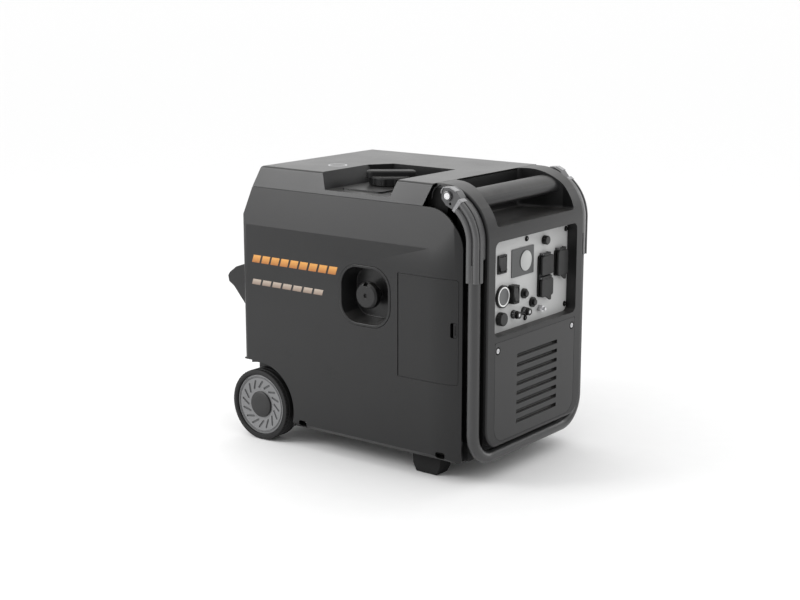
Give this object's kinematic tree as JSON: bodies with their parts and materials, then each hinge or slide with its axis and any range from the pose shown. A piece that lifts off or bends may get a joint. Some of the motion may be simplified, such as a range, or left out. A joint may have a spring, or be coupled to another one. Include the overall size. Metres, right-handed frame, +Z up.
{
  "type": "portable generator",
  "caption": "Closed-case portable inverter generator with a control panel, fold-out pull handle, transport wheels, recoil starter and carrying grips.",
  "frame": {"origin": "centre of the overall box at ground level, under the wheels and feet", "axes": "+X towards the control panel, +Y to the right-hand side seen from behind, +Z up"},
  "size_m": [0.5769, 0.364, 0.51],
  "materials": {
    "body_plastic": "fine matte texture",
    "frame_plastic": "fine matte texture",
    "black_plastic": "matte",
    "vent_plastic": "fine matte texture",
    "tray_plastic": "matte",
    "knob_plastic": "semi-gloss",
    "cap_plastic": "moulded satin",
    "panel_grey": "satin powder coat",
    "display_grey": "satin",
    "button_grey": "satin with a pale ring",
    "flap_rubber": "soft matte",
    "handle_steel": "gloss black enamel",
    "bright_steel": "zinc plated",
    "dark_steel": "oiled",
    "rim_silver": "satin silver",
    "hub_plastic": "satin",
    "tyre_rubber": "matte",
    "foot_rubber": "matte",
    "cast_aluminium": "as cast",
    "copper_winding": "enamelled wire",
    "tank_plastic": "moulded",
    "exhaust_steel": "heat tinted"
  },
  "bodies": {
    "chassis": {"left_side_cover": "body_plastic", "right_side_cover": "body_plastic", "top_cover": "body_plastic", "rear_cover": "body_plastic", "front_fascia": "frame_plastic", "vent_panel": "vent_plastic", "front_grip_bar": "frame_plastic", "rear_grip": "body_plastic", "grip_pocket": "black_plastic", "base_tray": "tray_plastic", "recoil_cup": "body_plastic", "door_hinge_pin": "dark_steel", "fuel_tank": "tank_plastic", "axle": "dark_steel", "front_feet": "foot_rubber", "control_plate": "panel_grey", "display_module": "display_grey", "switch_housings": "black_plastic", "terminal_posts": "bright_steel", "duplex_socket": "black_plastic", "twistlock_socket": "black_plastic", "flap_pins": "dark_steel", "casing_screws": "bright_steel", "handle_pivot_bolts": "bright_steel", "engine_block": "cast_aluminium", "engine_mounts": "foot_rubber", "stator": "copper_winding", "inverter_module": "cast_aluminium", "muffler": "exhaust_steel", "air_filter_box": "black_plastic", "carburettor": "cast_aluminium", "spark_plug": "bright_steel", "battery": "black_plastic"},
    "pull_handle": {"handle_tube": "handle_steel", "handle_sleeves": "knob_plastic", "handle_brackets": "handle_steel"},
    "left_wheel": {"left_tyre": "tyre_rubber", "left_rim": "rim_silver", "left_hub_cap": "hub_plastic"},
    "right_wheel": {"right_tyre": "tyre_rubber", "right_rim": "rim_silver", "right_hub_cap": "hub_plastic"},
    "crank_assembly": {"crankshaft": "dark_steel", "rotor": "dark_steel", "flywheel_fan": "cast_aluminium"},
    "fuel_cap": {"fuel_cap": "cap_plastic"},
    "recoil_grip": {"recoil_grip": "knob_plastic"},
    "service_door": {"service_door": "body_plastic"},
    "door_latch": {"door_latch": "body_plastic"},
    "output_rocker": {"output_rocker": "knob_plastic"},
    "breaker_lever": {"breaker_lever": "knob_plastic"},
    "start_button": {"start_button": "button_grey"},
    "reset_button_upper": {"reset_button_upper": "knob_plastic"},
    "reset_button_lower": {"reset_button_lower": "knob_plastic"},
    "mode_knob": {"mode_knob": "knob_plastic"},
    "fuel_valve_knob": {"fuel_valve_knob": "knob_plastic"},
    "ground_nut": {"ground_nut": "bright_steel"},
    "duplex_flap_upper": {"duplex_flap_upper": "flap_rubber"},
    "duplex_flap_lower": {"duplex_flap_lower": "flap_rubber"},
    "twistlock_flap": {"twistlock_flap": "flap_rubber"}
  },
  "joints": [
    {"name": "pull_handle_pivot", "type": "hinge", "parent": "chassis", "child": "pull_handle", "pos_m": [0.2195, 0, 0.4938], "axis": [0, -1, 0], "range_deg": [0, 105]},
    {"name": "left_wheel_spin", "type": "hinge", "parent": "chassis", "child": "left_wheel", "pos_m": [-0.1982, 0, 0.0664], "axis": [0, 1, 0], "continuous": true},
    {"name": "right_wheel_spin", "type": "hinge", "parent": "chassis", "child": "right_wheel", "pos_m": [-0.1982, 0, 0.0664], "axis": [0, 1, 0], "continuous": true},
    {"name": "crank_spin", "type": "hinge", "parent": "chassis", "child": "crank_assembly", "pos_m": [0.03, 0, 0.232], "axis": [0, 1, 0], "continuous": true},
    {"name": "fuel_cap_turn", "type": "hinge", "parent": "chassis", "child": "fuel_cap", "pos_m": [0.0155, -0.058, 0.49], "axis": [0, 0, 1], "range_deg": [0, 120]},
    {"name": "recoil_pull", "type": "slide", "parent": "chassis", "child": "recoil_grip", "axis": [0, -1, 0], "range_m": [0, 0.6], "stiffness_N_per_m": 15},
    {"name": "service_door_hinge", "type": "hinge", "parent": "chassis", "child": "service_door", "pos_m": [0.1236, -0.1745, 0.2645], "axis": [0, 0, -1], "range_deg": [0, 92]},
    {"name": "door_latch_slide", "type": "slide", "parent": "service_door", "child": "door_latch", "axis": [-1, 0, 0], "range_m": [0, 0.005], "stiffness_N_per_m": 60},
    {"name": "output_rocker_tilt", "type": "hinge", "parent": "chassis", "child": "output_rocker", "pos_m": [0.2685, -0.0825, 0.372], "axis": [0, 1, 0], "range_deg": [0, 16]},
    {"name": "breaker_lever_tilt", "type": "hinge", "parent": "chassis", "child": "breaker_lever", "pos_m": [0.2775, -0.052, 0.316], "axis": [0, 1, 0], "range_deg": [0, 12]},
    {"name": "start_button_press", "type": "slide", "parent": "chassis", "child": "start_button", "axis": [-1, 0, 0], "range_m": [0, 0.004], "stiffness_N_per_m": 400},
    {"name": "reset_button_upper_press", "type": "slide", "parent": "chassis", "child": "reset_button_upper", "axis": [-1, 0, 0], "range_m": [0, 0.003], "stiffness_N_per_m": 300},
    {"name": "reset_button_lower_press", "type": "slide", "parent": "chassis", "child": "reset_button_lower", "axis": [-1, 0, 0], "range_m": [0, 0.003], "stiffness_N_per_m": 300},
    {"name": "mode_knob_turn", "type": "hinge", "parent": "chassis", "child": "mode_knob", "pos_m": [0.2685, 0.0505, 0.395], "axis": [1, 0, 0], "range_deg": [0, 90]},
    {"name": "fuel_valve_turn", "type": "hinge", "parent": "chassis", "child": "fuel_valve_knob", "pos_m": [0.2685, -0.087, 0.2785], "axis": [1, 0, 0], "range_deg": [0, 90]},
    {"name": "ground_nut_turn", "type": "hinge", "parent": "chassis", "child": "ground_nut", "pos_m": [0.2685, 0.039, 0.275], "axis": [1, 0, 0], "continuous": true},
    {"name": "duplex_flap_upper_hinge", "type": "hinge", "parent": "chassis", "child": "duplex_flap_upper", "pos_m": [0.2751, 0.05, 0.37115], "axis": [0, -1, 0], "range_deg": [0, 95]},
    {"name": "duplex_flap_lower_hinge", "type": "hinge", "parent": "chassis", "child": "duplex_flap_lower", "pos_m": [0.2751, 0.05, 0.3293], "axis": [0, -1, 0], "range_deg": [0, 95]},
    {"name": "twistlock_flap_hinge", "type": "hinge", "parent": "chassis", "child": "twistlock_flap", "pos_m": [0.2751, 0.101, 0.3732], "axis": [0, -1, 0], "range_deg": [0, 95]}
  ]
}
